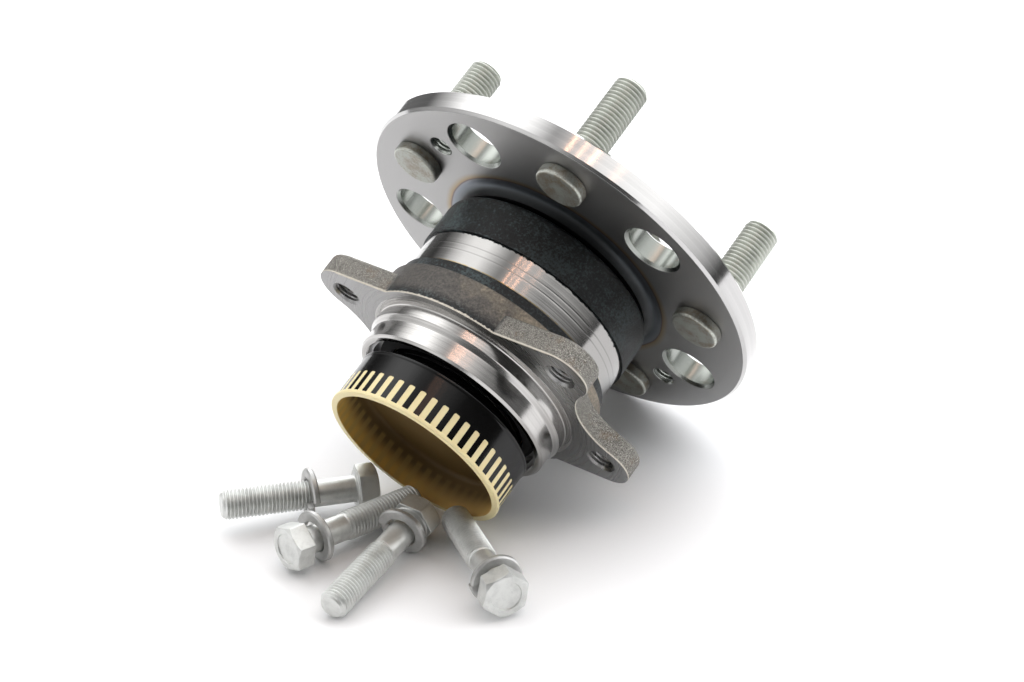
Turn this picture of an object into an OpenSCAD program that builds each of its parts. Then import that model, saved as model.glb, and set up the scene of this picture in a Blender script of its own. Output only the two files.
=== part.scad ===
// Wheel hub unit: a flanged hub that turns in a double-row ball bearing,
// with wheel studs, seals, a slotted tone ring and the four bolts that fasten it.
// Millimetres. The spin axis is Y and +Y points outboard, towards the wheel.
// The origin is on the spin axis, in the face that the brake disc or wheel sits on.
// At rest the hub is drawn with its axis level. The loose bolts lie on the bench
// that the whole set stands on: the plane that touches the flange's rim and the cup's rim.

/* [Wheel flange] */
// Diameter of the wheel flange
flange_d = 147.2; // [144:0.2:156]
// Thickness of the wheel flange
flange_t = 8.5; // [7:0.1:11]
// Chamfer on the flange's rim
flange_chamfer = 1; // [0.4:0.1:2]
// Pitch circle of the wheel studs
stud_pcd = 114.3; // [108:0.1:114.3]
// Number of wheel studs
stud_count = 5; // [5:1:5]
// Angle of the first stud round the spin axis, up from +X
stud_phase = -4.8; // [-36:0.1:36]
// Diameter of the tool access holes between the studs
access_d = 20; // [14:0.5:22]
// Chamfer on the access holes
access_chamfer = 0.6; // [0.2:0.1:1.2]
// Core diameter of the two screw holes for the brake disc
disc_screw_d = 6.7; // [5:0.1:8.5]
// Diameter of the countersinks on the disc screw holes
disc_screw_sink_d = 8.6; // [8.6:0.1:10]
// Diameter of the brake disc pilot
disc_pilot_d = 69.4; // [68.6:0.1:72]
// Height of the brake disc pilot
disc_pilot_h = 4; // [3:0.1:6]
// Diameter of the wheel pilot
wheel_pilot_d = 67; // [64:0.1:68]
// Height of the wheel pilot over the wheel face
wheel_pilot_h = 11; // [9:0.5:16]
// Wall of the wheel pilot round the recess
pilot_wall = 6; // [4.5:0.5:8]
// Depth of the recess in the hub's outboard side, under the wheel face
recess_depth = 14; // [8:0.5:15]
// Diameter of the boss behind the flange
boss_d = 75; // [73:0.2:76]
// Height of the boss behind the flange
boss_h = 3.4; // [3.2:0.1:3.8]

/* [Wheel studs] */
// Thread diameter of the wheel studs
stud_d = 12; // [10:0.5:12]
// Pitch of the wheel studs' thread
stud_pitch = 1.5; // [1:0.25:2]
// Height of the wheel studs' thread
stud_thread_h = 0.85; // [0.5:0.05:1.1]
// Reach of the studs over the wheel face
stud_reach = 33; // [24:1:50]
// Diameter of the knurled neck that is pressed into the flange
stud_knurl_d = 12.4; // [12.2:0.1:13.2]
// Diameter of the stud heads
stud_head_d = 17; // [15.5:0.5:19]
// Thickness of the stud heads
stud_head_h = 3.8; // [3:0.1:5]

/* [Outer ring] */
// Axial gap between the boss and the outer ring
ring_gap = 1.7; // [1:0.1:2]
// Place of the knuckle face behind the wheel face
knuckle_face = 58.5; // [57:0.5:62]
// Diameter of the forged barrel
barrel_d = 79; // [78:0.5:82]
// Radius of the barrel's outboard corner
barrel_corner = 3; // [2:0.1:3.4]
// Diameter of the machined band round the barrel
band_d = 77.6; // [76:0.1:78]
// Width of the machined band
band_w = 12; // [8:0.5:13]
// Distance from the knuckle face to the machined band
band_back = 17.2; // [16.2:0.1:18]
// Diameter of the root that carries the ears
root_d = 83; // [82:0.5:88]
// Depth of the root behind the knuckle face
root_depth = 12.6; // [10:0.1:13]
// Thickness of the ears
ear_t = 8.1; // [6:0.1:10]
// Distance between the ears' bolt holes, across
hole_span_x = 88.6; // [88:0.2:96]
// Distance between the ears' bolt holes, up and down
hole_span_z = 47.2; // [44:0.2:52]
// Overall width over the ears
ear_span_x = 108.8; // [106:0.2:118]
// Overall height over the ears
ear_span_z = 70.6; // [68:0.2:76]
// Radius of the ears' corners
ear_corner = 10.6; // [9:0.1:12]
// Width across the two waists between the upper and lower ears
waist = 86.4; // [85:0.2:90]
// Core diameter of the M10 threads in the ears
ear_thread_core_d = 8.7; // [8:0.1:8.9]
// Diameter of the countersinks on the ears' threads
ear_sink_d = 10.8; // [10.2:0.1:12]
// Diameter of the spigot that locates the unit in the knuckle
spigot_d = 73.4; // [72.6:0.1:75]
// Length of the spigot's locating land
spigot_land = 4.9; // [3:0.1:6]
// Outer diameter of the shallow groove in the knuckle face, round the spigot
face_groove_d = 76.6; // [76:0.1:78]
// Diameter of the spigot behind its land
spigot_nose_d = 70.8; // [69.6:0.1:71.6]
// Length of the whole spigot
spigot_len = 13.5; // [12:0.5:14]
// Bore of the outboard seal seat
outboard_seat_d = 66; // [65.4:0.1:67]
// Bore of the inboard seal seat
inboard_seat_d = 65.2; // [64.8:0.1:65.8]

/* [Bearing] */
// Pitch diameter of both ball rows
pitch_d = 55; // [54.6:0.1:55.4]
// Diameter of the balls
ball_d = 11.9; // [11:0.1:12]
// Balls in each row
ball_count = 12; // [9:1:12]
// Distance from the wheel face to the outboard ball row
outboard_row = 27.5; // [26.5:0.1:28]
// Distance between the two ball rows
row_span = 30; // [29:0.1:30.5]
// Diameter of the outer ring's land between the rows
outer_land_d = 62; // [61.4:0.1:62.6]
// Diameter of the outer ring's shoulders outside the rows
outer_shoulder_d = 64.4; // [64:0.1:64.6]
// Diameter of the inner raceways' low shoulders, between the rows
inner_low_d = 44; // [43.6:0.1:45]
// Diameter of the inner raceways' high shoulders, under the seals
inner_high_d = 50.4; // [49.8:0.1:50.6]
// Bore of the inner ring and diameter of its seat on the spindle
inner_bore_d = 30; // [27:0.5:33]
// Diameter of the formed end that holds the inner ring
formed_d = 43; // [38:0.5:46]
// Height of the formed end over the inner ring
formed_h = 3.6; // [2.5:0.1:3.8]
// Thickness of the cages' side rings
cage_back = 1.9; // [1.5:0.1:2]

/* [Seals] */
// Sheet thickness of the seal cases
seal_sheet = 1.2; // [0.8:0.1:1.4]
// Depth of the outboard seal's case
outboard_seal_depth = 4.8; // [4.4:0.1:5]
// Depth of the inboard seal's case
inboard_seal_depth = 4.2; // [3.8:0.1:4.4]

/* [Tone ring and cup] */
// Diameter of the tone ring's sleeve
sleeve_d = 63.8; // [63:0.1:64]
// Wall of the tone ring
sleeve_wall = 1.2; // [0.8:0.1:1.5]
// Distance from the wheel face to the sleeve's outboard end
sleeve_start = 75.1; // [74.8:0.1:75.6]
// Distance from the wheel face to the sleeve's inboard end
sleeve_end = 91.4; // [90:0.1:96]
// Number of slots in the sleeve
slot_count = 47; // [40:1:50]
// Length of the slots
slot_len = 8; // [6:0.1:9]
// Width of the slots
slot_w = 2.13; // [1.6:0.01:2.3]
// Corner radius at the slots' closed ends
slot_corner = 0.6; // [0.3:0.1:0.7]
// Angle of the first slot round the spin axis, up from +X
slot_phase = 2; // [0:0.1:8]
// Diameter of the cup's rim
cup_rim_d = 64.6; // [64.2:0.1:66]
// Thickness of the cup's rim
cup_rim_t = 1.4; // [1:0.1:2.4]
// Wall of the cup inside the sleeve
cup_wall = 0.8; // [0.6:0.1:1.4]
// Thickness of the cup's floor
cup_floor_t = 1.2; // [0.8:0.1:2]
// Distance from the wheel face to the outboard side of the cup's floor
cup_floor = 78.6; // [78.4:0.1:80]

/* [Mounting bolts] */
// Thread diameter of the mounting bolts
bolt_d = 9.9; // [9:0.1:10]
// Pitch of the mounting bolts' thread
bolt_pitch = 1.25; // [1:0.25:1.75]
// Height of the mounting bolts' thread
bolt_thread_h = 0.75; // [0.5:0.05:0.9]
// Shank diameter of the mounting bolts
bolt_shank_d = 9; // [8.6:0.1:9.2]
// Length under the head
bolt_len = 45; // [40:1:50]
// Thread length of the mounting bolts
bolt_thread = 30; // [22:1:32]
// Width across the flats of the bolt heads
bolt_flats = 14; // [13:0.5:15]
// Height of the bolt heads
bolt_head_h = 7; // [5.5:0.1:7]
// Outer diameter of the spring washers
washer_d = 17.4; // [16.4:0.1:18]
// Bore of the spring washers
washer_bore = 10.4; // [10.2:0.1:11]
// Thickness of the spring washers
washer_t = 2.4; // [2:0.1:2.8]
// Free rise of a spring washer over one turn
washer_rise = 1.2; // [0.6:0.1:1.6]

/* [Hidden] */

// Clearances
ball_play = 0.05;       // ball to raceway
pocket_play = 0.3;      // ball to cage pocket
cage_play = 0.4;        // cage to the rings inside and outside it
lip_play = 0.3;         // rubber lip to the surface that it wipes
bar_play = 0.03;        // cup's bars to the sleeve's slots
shank_play = 0.1;       // washer to shank
bench_play = 0.05;      // thread, head and washer to the bench

// Flange
flange_r = flange_d / 2;
stud_r = stud_pcd / 2;
hole_step = 360 / stud_count;
access_phase = stud_phase + hole_step / 2;
disc_screw_phase = stud_phase + 1.75 * hole_step;
boss_face = flange_t + boss_h;
boss_fillet = 3;
recess_r = wheel_pilot_d / 2 - pilot_wall;
recess_floor_r = 17;

// Outer ring, all places measured inboard from the wheel face
ring_start = boss_face + ring_gap;
ring_end = knuckle_face + spigot_len;
band_end = knuckle_face - band_back;
band_start = band_end - band_w;
root_start = knuckle_face - root_depth;
land_end = knuckle_face + spigot_land;
face_groove_t = 0.6;
ear_x = ear_span_x / 2 - ear_corner;
ear_z = ear_span_z / 2 - ear_corner;
// The waist's arc touches both ear corners: (w + k - ear_x)^2 + ear_z^2 = (k + ear_corner)^2
waist_gap = waist / 2 - ear_x;
waist_r = (waist_gap * waist_gap + ear_z * ear_z - ear_corner * ear_corner) / (2 * (ear_corner - waist_gap));
waist_x = waist / 2 + waist_r;
waist_share = ear_corner / (ear_corner + waist_r);

// Bearing rows
inboard_row = outboard_row + row_span;
pitch_r = pitch_d / 2;
ball_r = ball_d / 2;
groove_r = ball_r + ball_play;
inner_ring_start = outboard_row + 13;
inner_ring_end = ring_end + 2;
cage_pocket_r = ball_r + pocket_play;
cage_prong = 2.4;
cage_wall = (outer_land_d - inner_high_d) / 2 - 2 * cage_play;
spindle_bore_r = inner_bore_d / 2 - 5.5;
spindle_bore_depth = 14;

// Seals
outboard_web = ring_start + outboard_seal_depth;
inboard_web = inboard_row + cage_pocket_r + cage_back + 0.4;
web_r = 28.5;

// Cup
cup_end = sleeve_end + cup_rim_t;
cup_r = cup_rim_d / 2;
sleeve_bore_r = sleeve_d / 2 - sleeve_wall;
cup_in_r = sleeve_bore_r - cup_wall;
neck_start = ring_end - 1.1;
neck_r = inner_high_d / 2 + sleeve_wall;
slot_start = sleeve_end - slot_len;
slot_step = 360 / slot_count;

// Bench: the plane under the flange's rim and the cup's rim
bench_tilt = atan((flange_r - cup_r) / (cup_end - flange_t + flange_chamfer));
washer_r = washer_d / 2;
washer_height = washer_r + bench_play;
bolt_total = bolt_len + bolt_head_h;
// Each loose bolt: its tip's place across and along the bench from the point under the cup's rim,
// its heading from tip to head, its washer's place from the tip, the turn of its hexagon and
// the turn of its washer's split. The first bolt rests on its head, the others on their tips.
LOOSE = [
    [-51.3, -52.3, 55, 29.5, 30, 0],
    [-8.1, -5.3, -102, 40, 8, -10],
    [9.2, -66.1, 97.4, 41, 25, 195],
    [9, -6, -32, 42, 12, 5]
];

// A solid of revolution about Y: the child's x is the radius, its y the place along the spin axis
module turned() {
    rotate([-90, 0, 0]) rotate_extrude($fn = 180) children();
}

// Turns the child about the spin axis, up from +X
module at_angle(a) {
    rotate([0, -a, 0]) children();
}

// A thread's outline as rings of pitch p, from a root at y0 to the last root before y1
function ridges(crest, root, p, y0, y1) = [
    for (i = [0 : 2 * floor((y1 - y0) / p)]) [i % 2 == 0 ? root : crest, y0 + i * p / 2]
];

// A hole along Y through a plate from y0 to y1, with countersinks of diameter sink at both faces
module sunk_hole(d, sink, y0, y1) {
    lead = (sink - d) / 2;
    rotate([-90, 0, 0]) rotate_extrude($fn = 48) polygon([
        [0, y0 - 1], [sink / 2 + 1, y0 - 1], [d / 2, y0 + lead], [d / 2, y1 - lead],
        [sink / 2 + 1, y1 + 1], [0, y1 + 1]
    ]);
}

module hub_flange() {
    color([0.72, 0.72, 0.73])
    difference() {
        turned() difference() {
            polygon([
                [0, -recess_depth], [recess_floor_r, -recess_depth], [recess_floor_r + 2, 2 - recess_depth],
                [recess_r, 2], [recess_r, wheel_pilot_h - 0.8], [recess_r + 0.8, wheel_pilot_h],
                [wheel_pilot_d / 2 - 1, wheel_pilot_h], [wheel_pilot_d / 2, wheel_pilot_h - 1],
                [wheel_pilot_d / 2, disc_pilot_h], [disc_pilot_d / 2 - 0.5, disc_pilot_h],
                [disc_pilot_d / 2, disc_pilot_h - 0.5], [disc_pilot_d / 2, 0],
                [flange_r - flange_chamfer, 0], [flange_r, -flange_chamfer],
                [flange_r, flange_chamfer - flange_t], [flange_r - flange_chamfer, -flange_t],
                [boss_d / 2 + boss_fillet, -flange_t], [boss_d / 2, -flange_t - boss_fillet],
                [boss_d / 2 + boss_fillet - boss_h, -boss_face],
                [inner_high_d / 2 + 2, -boss_face], [inner_high_d / 2, -boss_face - 2],
                [inner_high_d / 2, -outboard_row], [inner_low_d / 2, -outboard_row],
                [inner_low_d / 2, 2 - inner_ring_start], [inner_low_d / 2 - 1.5, -inner_ring_start],
                [inner_bore_d / 2, -inner_ring_start], [inner_bore_d / 2, -inner_ring_end],
                [formed_d / 2 - 1, -inner_ring_end], [formed_d / 2, -inner_ring_end - 1.2],
                [formed_d / 2 - 2.2, -inner_ring_end - formed_h + 0.6],
                [inner_bore_d / 2, -inner_ring_end - formed_h],
                [spindle_bore_r + 1.5, -inner_ring_end - formed_h + 0.4],
                [spindle_bore_r, -inner_ring_end - formed_h + 2],
                [spindle_bore_r, spindle_bore_depth - inner_ring_end - formed_h],
                [0, spindle_bore_depth + 3 - inner_ring_end - formed_h]
            ]);
            translate([pitch_r, -outboard_row]) circle(r = groove_r, $fn = 96);
            translate([boss_d / 2 + boss_fillet, -flange_t - boss_fillet]) circle(r = boss_fillet, $fn = 48);
        }
        for (i = [0 : stud_count - 1]) {
            at_angle(stud_phase + i * hole_step) translate([stud_r, -flange_t / 2, 0])
                rotate([90, 0, 0]) cylinder(d = stud_knurl_d, h = flange_t + 2, center = true, $fn = 48);
            at_angle(access_phase + i * hole_step) translate([stud_r, 0, 0])
                sunk_hole(access_d, access_d + 2 * access_chamfer, -flange_t, 0);
        }
        for (a = [0, 180]) at_angle(disc_screw_phase + a) translate([stud_r, 0, 0])
            sunk_hole(disc_screw_d, disc_screw_sink_d, -flange_t, 0);
    }
}

// A wheel stud, its underhead at the flange's back face, its thread towards +Y
module wheel_stud() {
    rotate([-90, 0, 0]) rotate_extrude($fn = 72) polygon(concat([
        [0, -flange_t - stud_head_h], [stud_head_d / 2 - 0.8, -flange_t - stud_head_h],
        [stud_head_d / 2, -flange_t - stud_head_h + 0.8], [stud_head_d / 2, -flange_t - 0.4],
        [stud_head_d / 2 - 0.4, -flange_t], [stud_knurl_d / 2, -flange_t],
        [stud_knurl_d / 2, -0.9], [stud_d / 2, -0.05], [stud_d / 2, 2]
    ], ridges(stud_d / 2, stud_d / 2 - stud_thread_h, stud_pitch, 2.4, stud_reach - 1), [
        [stud_d / 2 - 1.4, stud_reach], [0, stud_reach]
    ]));
}

module wheel_stud_at(i) {
    color([0.66, 0.67, 0.6]) at_angle(stud_phase + i * hole_step) translate([stud_r, 0, 0]) wheel_stud();
}

module wheel_stud_1() {
    wheel_stud_at(0);
}

module wheel_stud_2() {
    wheel_stud_at(1);
}

module wheel_stud_3() {
    wheel_stud_at(2);
}

module wheel_stud_4() {
    wheel_stud_at(3);
}

module wheel_stud_5() {
    wheel_stud_at(4);
}

// The separate ring of the inboard row, held by the spindle's formed end
module inner_ring() {
    color([0.7, 0.7, 0.7]) turned() difference() {
        polygon([
            [inner_bore_d / 2, -inner_ring_start], [inner_low_d / 2 - 1.5, -inner_ring_start],
            [inner_low_d / 2, -inner_ring_start - 2], [inner_low_d / 2, -inboard_row],
            [inner_high_d / 2, -inboard_row], [inner_high_d / 2, 1.2 - inner_ring_end],
            [inner_high_d / 2 - 1.2, -inner_ring_end], [inner_bore_d / 2, -inner_ring_end]
        ]);
        translate([pitch_r, -inboard_row]) circle(r = groove_r, $fn = 96);
    }
}

// The shape of one slot seen from outside, x round the sleeve and y along the spin axis
module slot_shape(play) {
    half = slot_w / 2 - play;
    corner = slot_corner;
    near = -slot_start - play;
    for (s = [-1, 1]) translate([s * (half - corner), near - corner]) circle(r = corner, $fn = 24);
    polygon([
        [-half, -sleeve_end - 1], [half, -sleeve_end - 1], [half, near - corner],
        [half - corner, near - corner], [half - corner, near], [corner - half, near],
        [corner - half, near - corner], [-half, near - corner]
    ]);
}

// The slots as radial bars, from radius r0 to r1
module slot_bars(r0, r1, play) {
    for (i = [0 : slot_count - 1]) at_angle(slot_phase + i * slot_step)
        rotate([0, 90, 0]) translate([0, 0, r0]) linear_extrude(r1 - r0) slot_shape(play);
}

// A stepped neck on the inner ring, a flat shoulder and a sleeve with open slots
module tone_ring() {
    color([0.1, 0.1, 0.1]) difference() {
        turned() polygon([
            [inner_high_d / 2, -neck_start], [neck_r - 0.3, -neck_start], [neck_r, -neck_start - 0.3],
            [neck_r, -sleeve_start], [sleeve_d / 2, -sleeve_start], [sleeve_d / 2 + 0.4, -sleeve_start - 0.5],
            [sleeve_d / 2 + 0.4, -sleeve_start - 1.1], [sleeve_d / 2, -sleeve_start - 1.8],
            [sleeve_d / 2, -sleeve_end], [sleeve_bore_r, -sleeve_end],
            [sleeve_bore_r, -sleeve_start - sleeve_wall], [inner_high_d / 2, -sleeve_start - sleeve_wall]
        ]);
        slot_bars(sleeve_bore_r - 2, sleeve_d / 2 + 2, 0);
    }
}

// A closed cup inside the sleeve, with a rim over the sleeve's end and bars that fill the slots
module tone_ring_cup() {
    color([0.86, 0.78, 0.6]) union() {
        turned() difference() {
            polygon([
                [0, -cup_floor], [sleeve_bore_r - 1, -cup_floor], [sleeve_bore_r, -cup_floor - 1],
                [sleeve_bore_r, -sleeve_end], [cup_r - 0.3, -sleeve_end], [cup_r, -sleeve_end - 0.3],
                [cup_r, 0.3 - cup_end], [cup_r - 0.3, -cup_end], [cup_in_r + 0.3, -cup_end],
                [cup_in_r, 0.3 - cup_end], [cup_in_r, -cup_floor - cup_floor_t - 2],
                [cup_in_r - 2, -cup_floor - cup_floor_t - 2], [cup_in_r - 2, -cup_floor - cup_floor_t],
                [0, -cup_floor - cup_floor_t]
            ]);
            translate([cup_in_r - 2, -cup_floor - cup_floor_t - 2]) circle(r = 2, $fn = 48);
        }
        intersection() {
            slot_bars(sleeve_bore_r - cup_wall / 2, sleeve_d / 2 + 1, bar_play);
            turned() translate([sleeve_bore_r - cup_wall / 2, -sleeve_end - 0.3])
                square([sleeve_d / 2 - sleeve_bore_r + cup_wall / 2, slot_len + 0.6]);
        }
    }
}

// The ears seen along the spin axis, x across and y up
module ear_outline() {
    touch_x = ear_x + waist_share * (waist_x - ear_x);
    touch_z = ear_z * (1 - waist_share);
    difference() {
        union() {
            for (sx = [-1, 1], sz = [-1, 1]) translate([sx * ear_x, sz * ear_z])
                circle(r = ear_corner, $fn = 96);
            polygon([
                [-ear_x, -ear_span_z / 2], [ear_x, -ear_span_z / 2], [ear_x, -ear_z], [touch_x, -touch_z],
                [touch_x, touch_z], [ear_x, ear_z], [ear_x, ear_span_z / 2], [-ear_x, ear_span_z / 2],
                [-ear_x, ear_z], [-touch_x, touch_z], [-touch_x, -touch_z], [-ear_x, -ear_z]
            ]);
        }
        for (s = [-1, 1]) translate([s * waist_x, 0]) circle(r = waist_r, $fn = 180);
    }
}

// The fixed ring with both outer raceways, four threaded ears and the spigot
module outer_ring() {
    color([0.3, 0.32, 0.34]) difference() {
        union() {
            turned() {
                polygon([
                    [inboard_seat_d / 2 - 2, -ring_start], [barrel_d / 2 - barrel_corner, -ring_start],
                    [barrel_d / 2 - barrel_corner, -ring_start - barrel_corner],
                    [barrel_d / 2, -ring_start - barrel_corner], [barrel_d / 2, -band_start],
                    [band_d / 2, -band_start], [band_d / 2, -band_end], [barrel_d / 2 + 0.2, -band_end - 0.6],
                    [barrel_d / 2 + 0.6, -root_start], [root_d / 2 - 0.6, -root_start],
                    [root_d / 2, -root_start - 0.6], [root_d / 2, -knuckle_face],
                    [face_groove_d / 2, -knuckle_face],
                    [face_groove_d / 2 - 0.1, face_groove_t - knuckle_face],
                    [spigot_d / 2, face_groove_t - knuckle_face], [spigot_d / 2, -land_end],
                    [spigot_d / 2 - 0.4, -land_end - 0.4], [spigot_nose_d / 2, -land_end - 1.8],
                    [spigot_nose_d / 2, 0.8 - ring_end], [spigot_nose_d / 2 - 0.8, -ring_end],
                    [inboard_seat_d / 2 - 2, -ring_end]
                ]);
                translate([barrel_d / 2 - barrel_corner, -ring_start - barrel_corner])
                    circle(r = barrel_corner, $fn = 48);
            }
            translate([0, ear_t - knuckle_face, 0]) rotate([90, 0, 0]) linear_extrude(ear_t) ear_outline();
        }
        turned() {
            polygon([
                [0, 1 - ring_start], [outboard_seat_d / 2 + 1.4, 1 - ring_start],
                [outboard_seat_d / 2, -ring_start - 0.4], [outboard_seat_d / 2, -outboard_web - 0.4],
                [outer_shoulder_d / 2, -outboard_web - 0.4], [outer_shoulder_d / 2, -outboard_row],
                [outer_land_d / 2, -outboard_row], [outer_land_d / 2, -inboard_row],
                [outer_shoulder_d / 2, -inboard_row], [outer_shoulder_d / 2, 0.4 - inboard_web],
                [inboard_seat_d / 2, 0.4 - inboard_web], [inboard_seat_d / 2, 0.4 - ring_end],
                [inboard_seat_d / 2 + 1.4, -ring_end - 1], [0, -ring_end - 1]
            ]);
            for (y = [outboard_row, inboard_row]) translate([pitch_r, -y]) circle(r = groove_r, $fn = 96);
        }
        for (sx = [-1, 1], sz = [-1, 1]) translate([sx * hole_span_x / 2, 0, sz * hole_span_z / 2])
            sunk_hole(ear_thread_core_d, ear_sink_d, -knuckle_face, ear_t - knuckle_face);
    }
}

module outboard_seal_case() {
    color([0.6, 0.6, 0.6]) turned() polygon([
        [outboard_seat_d / 2 - seal_sheet, -ring_start - 0.6], [outboard_seat_d / 2, -ring_start - 0.6],
        [outboard_seat_d / 2, -outboard_web], [web_r, -outboard_web],
        [web_r, seal_sheet - outboard_web], [outboard_seat_d / 2 - seal_sheet, seal_sheet - outboard_web]
    ]);
}

module outboard_seal_lip() {
    lip_r = inner_high_d / 2 + lip_play;
    color([0.08, 0.08, 0.08]) turned() polygon([
        [web_r + 1.6, seal_sheet - outboard_web], [web_r, seal_sheet - outboard_web], [web_r, -outboard_web],
        [lip_r + 1.4, -outboard_web], [lip_r, 0.8 - outboard_web], [lip_r + 1.2, seal_sheet - outboard_web],
        [lip_r + 1, seal_sheet + 0.6 - outboard_web], [lip_r + 0.8, 3.2 - outboard_web],
        [lip_r + 1.4, 3.4 - outboard_web], [web_r + 0.4, seal_sheet + 1 - outboard_web],
        [web_r + 1.4, seal_sheet + 0.8 - outboard_web]
    ]);
}

module inboard_seal_case() {
    color([0.6, 0.6, 0.6]) turned() polygon([
        [web_r, -inboard_web], [inboard_seat_d / 2, -inboard_web],
        [inboard_seat_d / 2, -inboard_web - inboard_seal_depth],
        [inboard_seat_d / 2 - seal_sheet, -inboard_web - inboard_seal_depth],
        [inboard_seat_d / 2 - seal_sheet, -inboard_web - seal_sheet], [web_r, -inboard_web - seal_sheet]
    ]);
}

module inboard_seal_lip() {
    lip_r = inner_high_d / 2 + lip_play;
    color([0.08, 0.08, 0.08]) turned() polygon([
        [web_r + 1.6, -inboard_web - seal_sheet], [web_r, -inboard_web - seal_sheet], [web_r, -inboard_web],
        [lip_r + 1.4, -inboard_web], [lip_r, -inboard_web - 0.8], [lip_r + 1.2, -inboard_web - seal_sheet],
        [lip_r + 1, -inboard_web - seal_sheet - 0.6], [lip_r + 0.8, -inboard_web - 3.2],
        [lip_r + 1.4, -inboard_web - 3.4], [web_r + 0.4, -inboard_web - seal_sheet - 1],
        [web_r + 1.4, -inboard_web - seal_sheet - 0.8]
    ]);
}

// The balls of the row at distance y from the wheel face
module row_balls(y) {
    color([0.85, 0.85, 0.87]) for (i = [0 : ball_count - 1]) at_angle(i * 360 / ball_count)
        translate([pitch_r, -y, 0]) sphere(r = ball_r, $fn = 48);
}

// A crown cage: a side ring on the side that side points to, and prongs between the balls
module row_cage(y, side) {
    start = side > 0 ? -y - cage_prong : -y - cage_pocket_r - cage_back;
    color([0.75, 0.6, 0.35]) difference() {
        turned() translate([inner_high_d / 2 + cage_play, start])
            square([cage_wall, cage_pocket_r + cage_back + cage_prong]);
        for (i = [0 : ball_count - 1]) at_angle(i * 360 / ball_count)
            translate([inner_high_d / 2 - 2, -y, 0]) rotate([0, 90, 0])
                cylinder(r = cage_pocket_r, h = cage_wall + 6, $fn = 72);
    }
}

module outboard_cage() {
    row_cage(outboard_row, 1);
}

module outboard_balls() {
    row_balls(outboard_row);
}

module inboard_cage() {
    row_cage(inboard_row, -1);
}

module inboard_balls() {
    row_balls(inboard_row);
}

// Coordinates on the bench: x across, y along it away from the cup's rim, z up from it
module on_bench() {
    translate([0, -cup_end, -cup_r]) rotate([-bench_tilt, 0, 0]) children();
}

// Height of bolt i's axis over the bench at its washer, where the thread or the shank lies in the bore
function seat_height(i) = washer_height + shank_play
    - (washer_bore - (LOOSE[i][3] < bolt_thread + washer_t ? bolt_d : bolt_shank_d)) / 2;

// Lays a child that is drawn along +X, tip at the origin, in the place of loose bolt i
module laid(i) {
    pose = LOOSE[i];
    shank_height = seat_height(i);
    on_head = (bolt_total * shank_height - pose[3] * (bolt_flats / 2 + bench_play)) / (bolt_total - pose[3]);
    tip_height = i == 0 ? on_head : bolt_d / 2 + bench_play;
    lift = asin((shank_height - tip_height) / pose[3]);
    on_bench() translate([pose[0], pose[1], tip_height]) rotate([0, -lift, pose[2]]) children();
}

// Hexagon bolt along +X, tip at the origin
module mounting_bolt(turn) {
    rotate([0, 90, 0]) {
        rotate_extrude($fn = 72) polygon(concat([
            [0, 0], [bolt_d / 2 - 1.4, 0]
        ], ridges(bolt_d / 2, bolt_d / 2 - bolt_thread_h, bolt_pitch, 0.8, bolt_thread - 0.8), [
            [bolt_shank_d / 2, bolt_thread], [bolt_shank_d / 2, bolt_len - 0.5],
            [bolt_shank_d / 2 + 0.5, bolt_len], [bolt_flats / 2 - 0.6, bolt_len],
            [bolt_flats / 2 - 0.6, bolt_len + 0.6], [0, bolt_len + 0.6]
        ]));
        rotate([0, 0, turn]) difference() {
            intersection() {
                translate([0, 0, bolt_len + 0.4])
                    cylinder(d = bolt_flats / cos(30), h = bolt_head_h - 0.4, $fn = 6);
                rotate_extrude($fn = 96) polygon([
                    [0, bolt_len], [bolt_flats / 2 + 0.3, bolt_len + 0.4],
                    [bolt_flats / 2 + 1.3, bolt_len + 1.1], [bolt_flats / 2 + 1.3, bolt_total - 1.1],
                    [bolt_flats / 2 - 0.3, bolt_total], [0, bolt_total]
                ]);
            }
            translate([0, 0, bolt_total - 0.4]) cylinder(d1 = 8.8, d2 = 10.4, h = 0.8, $fn = 72);
        }
    }
}

// Split spring washer round +X, one half leaning each way so that the ends stand apart at the split
module spring_washer() {
    lean = atan(washer_rise / 2 / washer_d);
    rotate([0, 90, 0]) for (s = [-1, 1]) translate([-washer_r, 0, 0]) rotate([0, s * lean, 0])
        difference() {
            translate([washer_r, 0, -washer_t / 2]) rotate_extrude($fn = 96) translate([washer_bore / 2, 0])
                square([washer_r - washer_bore / 2, washer_t]);
            translate([-1, s > 0 ? -washer_d : 0, -washer_d / 2]) cube([washer_d + 2, washer_d, washer_d]);
            translate([washer_d - 4.4, 0, 0]) rotate([25, 0, 0])
                translate([0, -0.6, -washer_d / 2]) cube([5.4, 1.2, washer_d]);
        }
}

module loose_bolt(i) {
    color([0.7, 0.71, 0.72]) laid(i) mounting_bolt(LOOSE[i][4]);
}

module loose_washer(i) {
    color([0.5, 0.51, 0.52]) laid(i) translate([LOOSE[i][3], 0, washer_height - seat_height(i)])
        rotate([LOOSE[i][5], 0, 0]) spring_washer();
}

module mounting_bolt_1() {
    loose_bolt(0);
}

module mounting_bolt_2() {
    loose_bolt(1);
}

module mounting_bolt_3() {
    loose_bolt(2);
}

module mounting_bolt_4() {
    loose_bolt(3);
}

module spring_washer_1() {
    loose_washer(0);
}

module spring_washer_2() {
    loose_washer(1);
}

module spring_washer_3() {
    loose_washer(2);
}

module spring_washer_4() {
    loose_washer(3);
}

hub_flange();
wheel_stud_1();
wheel_stud_2();
wheel_stud_3();
wheel_stud_4();
wheel_stud_5();
inner_ring();
tone_ring();
tone_ring_cup();
outer_ring();
outboard_seal_case();
outboard_seal_lip();
inboard_seal_case();
inboard_seal_lip();
outboard_cage();
outboard_balls();
inboard_cage();
inboard_balls();
mounting_bolt_1();
mounting_bolt_2();
mounting_bolt_3();
mounting_bolt_4();
spring_washer_1();
spring_washer_2();
spring_washer_3();
spring_washer_4();
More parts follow.
